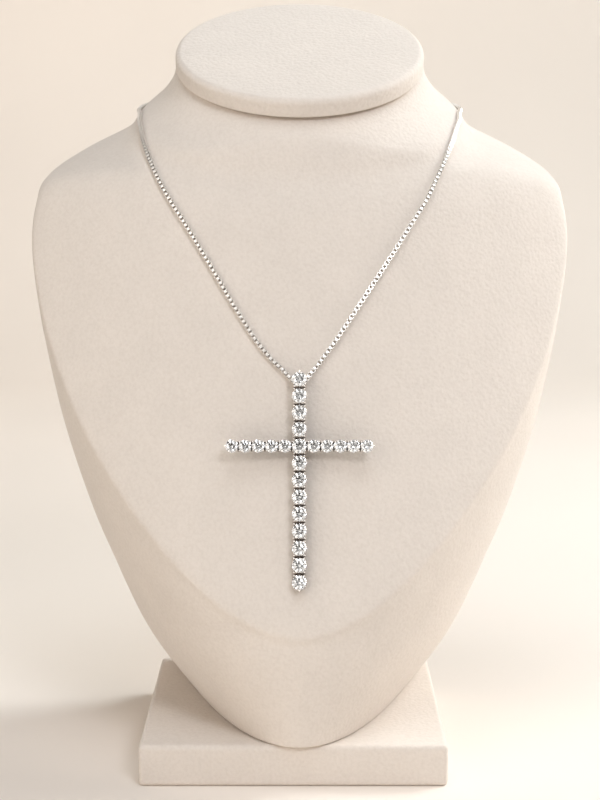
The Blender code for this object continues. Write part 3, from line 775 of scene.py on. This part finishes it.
def cross_matrix():
    """From the cross's own plane to the world: X across, Y up the cross, Z out of its face."""
    count = STONES_ABOVE + 1 + STONES_BELOW
    top = sum((Vector(corner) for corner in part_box("stone_upright_01")), Vector()) / 2
    foot = sum((Vector(corner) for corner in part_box(f"stone_upright_{count:02d}")), Vector()) / 2
    up = (top - foot).normalized()
    across = Vector((1, 0, 0))
    turn = Matrix((across, up, across.cross(up))).transposed().to_4x4()
    return Matrix.Translation(Vector(frame["joints"][0]["pos_m"])) @ turn


def girdle_height():
    return SETTING_DEPTH + BAIL_BORE / 2 + BAIL_WALL - BAIL_SOLDER


def setting_back():
    return girdle_height() - SETTING_DEPTH


def add_bead(bm, centre, along, size, level):
    """A claw's head: a low dome, longer along one way."""
    length, width, height = size
    across = Vector((-along.y, along.x))
    made = bmesh.ops.create_uvsphere(bm, u_segments=BEAD_SIDES, v_segments=BEAD_RINGS, radius=0.5)
    for vert in made["verts"]:
        x, y, z = vert.co
        spot = centre + along * (x * length) + across * (y * width)
        vert.co = (spot.x, spot.y, level + z * height)


def add_cup(bm, stone):
    """The open-backed cup under a stone, with a waist between its foot and its rim."""
    radius = stone.diameter / 2
    height = SETTING_DEPTH - CUP_RIM_DROP
    drop = CUP_RIM_DROP - GIRDLE_SHARE * radius
    seat = radius - drop / math.tan(PAVILION_ANGLE) + STONE_GAP / math.sin(PAVILION_ANGLE)
    wall = CUP_OUTSIDE + (WallPoint(seat / radius, 1.0),) + CUP_INSIDE
    profile = [(point.reach * radius, setting_back() + point.rise * height) for point in wall]
    add_turned(bm, profile, Matrix.Translation((stone.x, stone.y, 0)), CUP_STEPS)


def seam_between(a, b):
    """The middle of the gap between two stones, the way from one to the other and the way across it."""
    way = Vector((b.x - a.x, b.y - a.y))
    gap = way.length
    way.normalize()
    seam = Vector((a.x, a.y)) + way * (gap + a.diameter / 2 - b.diameter / 2) / 2
    return seam, way, Vector((-way.y, way.x))


def raised(spot, height):
    return Vector((spot.x, spot.y, height))


def add_supports(bm, a, b):
    """What holds two neighbouring stones from below: their shared claws' shanks, back bars and a bridge."""
    seam, way, side = seam_between(a, b)
    low = setting_back() + BAR_LIFT
    size = min(a.diameter, b.diameter)
    for sign in (-1, 1):
        root = seam + side * sign * CLAW_ROOT_SHARE * size
        tip = seam + side * sign * CLAW_SPREAD_SHARE * size
        add_post(bm, raised(root, low), raised(tip, girdle_height() + CLAW_LIFT), CLAW_RADIUS, CLAW_SIDES)
        shift = side * sign * BAR_SPREAD
        start = Vector((a.x, a.y)) + way * BAR_START_SHARE * a.diameter / 2 + shift
        end = Vector((b.x, b.y)) - way * BAR_START_SHARE * b.diameter / 2 + shift
        add_post(bm, raised(start, low), raised(end, low), BAR_RADIUS, CLAW_SIDES)
    level = girdle_height() - BRIDGE_DROP
    add_post(bm, raised(seam - way * BRIDGE_HALF, level), raised(seam + way * BRIDGE_HALF, level),
             BRIDGE_RADIUS, CLAW_SIDES)


def add_claw_heads(bm, a, b):
    """The beads of two neighbouring stones' shared claws, two to a claw, each over one stone's edge."""
    seam, way, side = seam_between(a, b)
    size = min(a.diameter, b.diameter)
    level = girdle_height() + CLAW_LIFT
    bead = (BEAD_LENGTH_SHARE * size, BEAD_WIDTH_SHARE * size, BEAD_HEIGHT)
    for sign in (-1, 1):
        tip = seam + side * sign * CLAW_SPREAD_SHARE * size
        for end in (-1, 1):
            spot = tip + way * end * BEAD_ALONG_SHARE * size - side * sign * BEAD_IN_SHARE * size
            lean = (way * end * BEAD_LEAN - side * sign).normalized()
            add_bead(bm, spot, lean, bead, level)


def end_of_row(last, before):
    """The last stone's place and radius, and the way out of its row."""
    way = Vector((last.x - before.x, last.y - before.y)).normalized()
    return Vector((last.x, last.y)), last.diameter / 2, way


def add_end_shank(bm, last, before):
    place, radius, way = end_of_row(last, before)
    root = raised(place + way * END_ROOT_SHARE * radius, setting_back() + BAR_LIFT)
    tip = raised(place + way * (radius + END_REACH), girdle_height() + CLAW_LIFT / 2)
    add_post(bm, root, tip, CLAW_RADIUS, CLAW_SIDES)


def add_end_head(bm, last, before):
    """The pointed head of the claw beyond a row's last stone."""
    place, radius, way = end_of_row(last, before)
    add_bead(bm, place + way * radius, way, END_BEAD_SIZE, girdle_height() + CLAW_LIFT)


def add_bail(bm):
    """The short tube that the chain runs through, its ends slightly rounded."""
    bore, outer, half = BAIL_BORE / 2, BAIL_BORE / 2 + BAIL_WALL, BAIL_LENGTH / 2
    soft = BAIL_ROUNDING
    wall = [(bore, soft - half), (bore + soft, -half), (outer - soft, -half), (outer, soft - half),
            (outer, half - soft), (outer - soft, half), (bore + soft, half), (bore, half - soft)]
    add_turned(bm, wall, Matrix.Rotation(math.pi / 2, 4, "Y"), BAIL_STEPS)


def make_setting(materials):
    """Cups, bars, shared claws, pointed end claws and the bail, soldered to one piece."""
    upright, arms = cross_rows()
    rows = [upright] + arms
    ends = [upright[::-1], upright] + arms
    bm = bmesh.new()
    for stone in upright + arms[0][1:] + arms[1][1:]:
        add_cup(bm, stone)
    for row in rows:
        for a, b in zip(row, row[1:]):
            add_supports(bm, a, b)
    for row in ends:
        add_end_shank(bm, row[-1], row[-2])
    # Cups, bars, bridges and shanks take the second material: painted shade for the dark gaps between and
    # under the stones. Claw heads and bail stay bright.
    for face in bm.faces:
        face.material_index = 1
    for row in rows:
        for a, b in zip(row, row[1:]):
            add_claw_heads(bm, a, b)
    for row in ends:
        add_end_head(bm, row[-1], row[-2])
    add_bail(bm)
    bm.transform(cross_matrix())
    mesh = mesh_from(bm, "cross_setting")
    make_piece("cross_setting", mesh, materials, "pendant", "white_metal", 40, "cross_frame")


# Light, stage and camera

def add_area(name, place, size, power, color, target=LIGHT_TARGET):
    """A square soft box that faces a point."""
    light = bpy.data.lights.new(name, "AREA")
    light.size = size
    light.energy = power
    light.color = color
    lamp = bpy.data.objects.new(name, light)
    bpy.context.scene.collection.objects.link(lamp)
    lamp.location = place
    lamp.rotation_euler = (Vector(target) - Vector(place)).to_track_quat("-Z", "Y").to_euler()
    lamp.visible_camera = False


def make_stage():
    """A pale floor that sweeps up into the backdrop."""
    profile = [(STAGE_FRONT, 0.0), (0.0, 0.0), (STAGE_BEND, 0.0)]
    for step in range(1, STAGE_STEPS + 1):
        turn = math.pi / 2 * step / STAGE_STEPS
        rise = STAGE_RADIUS * (1 - math.cos(turn))
        profile.append((STAGE_BEND + STAGE_RADIUS * math.sin(turn), rise))
    profile.append((STAGE_BEND + STAGE_RADIUS, STAGE_TOP))
    bm = bmesh.new()
    rows = [[bm.verts.new((x, y, z)) for x in (-STAGE_HALF, STAGE_HALF)] for y, z in profile]
    for low, high in zip(rows, rows[1:]):
        bm.faces.new((low[0], low[1], high[1], high[0]))
    mesh = mesh_from(bm, "studio_sweep")
    mesh.shade_smooth()
    sweep = bpy.data.objects.new("studio_sweep", mesh)
    bpy.context.scene.collection.objects.link(sweep)
    mesh.materials.append(pale_paper("pale_paper", PAPER_COLOR))


def make_world():
    """A room of soft bright and dim patches, which only shows in reflections and in the stones."""
    world = bpy.data.worlds.new("soft_studio")
    world.use_nodes = True
    tree = world.node_tree
    place = tree.nodes.new("ShaderNodeTexCoord")
    noise = tree.nodes.new("ShaderNodeTexNoise")
    noise.inputs["Scale"].default_value = PATCH_SCALE
    noise.inputs["Detail"].default_value = 1.0
    ramp = tree.nodes.new("ShaderNodeValToRGB")
    dim, bright = ramp.color_ramp.elements
    dim.position = PATCH_DIM_END
    dim.color = (*DIM_COLOR, 1.0)
    bright.position = PATCH_BRIGHT_START
    bright.color = (*BRIGHT_COLOR, 1.0)
    tree.links.new(place.outputs["Generated"], noise.inputs["Vector"])
    tree.links.new(noise.outputs["Fac"], ramp.inputs["Fac"])
    tree.links.new(ramp.outputs["Color"], tree.nodes["Background"].inputs["Color"])
    bpy.context.scene.world = world
    world.cycles_visibility.diffuse = False


def make_surround():
    """A plain pale room round the set, which only the camera sees, past the edges of the stage."""
    bm = bmesh.new()
    bmesh.ops.create_icosphere(bm, subdivisions=SURROUND_STEPS, radius=SURROUND_RADIUS)
    mesh = mesh_from(bm, "pale_surround")
    surround = bpy.data.objects.new("pale_surround", mesh)
    bpy.context.scene.collection.objects.link(surround)
    paper = pale_paper("pale_surround_paper", SURROUND_COLOR)
    shader = paper.node_tree.nodes["Principled BSDF"]
    shader.inputs["Emission Color"].default_value = (*SURROUND_COLOR, 1.0)
    shader.inputs["Emission Strength"].default_value = 1.0
    mesh.materials.append(paper)
    surround.visible_diffuse = False
    surround.visible_glossy = False
    surround.visible_transmission = False
    surround.visible_shadow = False


def make_camera():
    data = bpy.data.cameras.new("photo_camera")
    data.lens = CAMERA_LENS
    data.sensor_width = CAMERA_SENSOR
    data.clip_start = CAMERA_NEAR
    camera = bpy.data.objects.new("photo_camera", data)
    bpy.context.scene.collection.objects.link(camera)
    camera.location = CAMERA_PLACE
    camera.rotation_euler = (math.pi / 2 - CAMERA_DIP, 0, CAMERA_TURN)
    bpy.context.scene.camera = camera


def make_lights():
    add_area("window_right", (0.95, 0.15, 0.60), 0.6, 5.4, (1.0, 0.93, 0.86))
    add_area("window_right_high", (0.90, 0.50, 0.90), 0.5, 9.4, (0.89, 0.97, 1.0))
    add_area("ceiling", (0.0, -0.35, 1.25), 0.6, 4.2, (0.93, 0.97, 1.0))
    add_area("front_right", (0.45, -1.00, 0.90), 0.35, 5.7, (0.88, 0.90, 0.95))
    add_area("fill_left", (-0.90, -0.80, 0.50), 1.2, 8.3, (1.0, 0.93, 0.85))
    add_area("backdrop_wash", (-0.45, 0.60, 0.90), 0.6, 2.9, (1.0, 0.90, 0.80), BACKDROP_TARGET)


def main():
    bpy.context.scene.view_settings.view_transform = "Standard"
    make_camera()
    make_world()
    make_surround()
    make_stage()
    make_lights()

    cover = suede("cream_suede_cover", SUEDE_COLOR)
    metal = polished_metal("white_metal_polished", METAL_COLOR, 0.12)
    satin = polished_metal("white_metal_satin", METAL_COLOR, 0.30)
    # Painted shade: a dark copy of the white metal, put on the hollows and gaps
    painted_shade_metal = polished_metal("white_metal_painted_shade", PAINTED_SHADE_COLOR, 0.35)
    stones = clear_stone("clear_stone_cut")
    surface = surface_of(make_bust(cover))
    make_cap(cover)
    make_base(cover)
    make_chain([satin, painted_shade_metal], surface, Vector(frame["joints"][0]["pos_m"]))
    make_clasp(metal)
    make_setting([metal, painted_shade_metal])
    for name, node in frame["nodes"].items():
        if name.startswith("stone_"):
            for slot in node.material_slots:
                slot.material = stones


main()
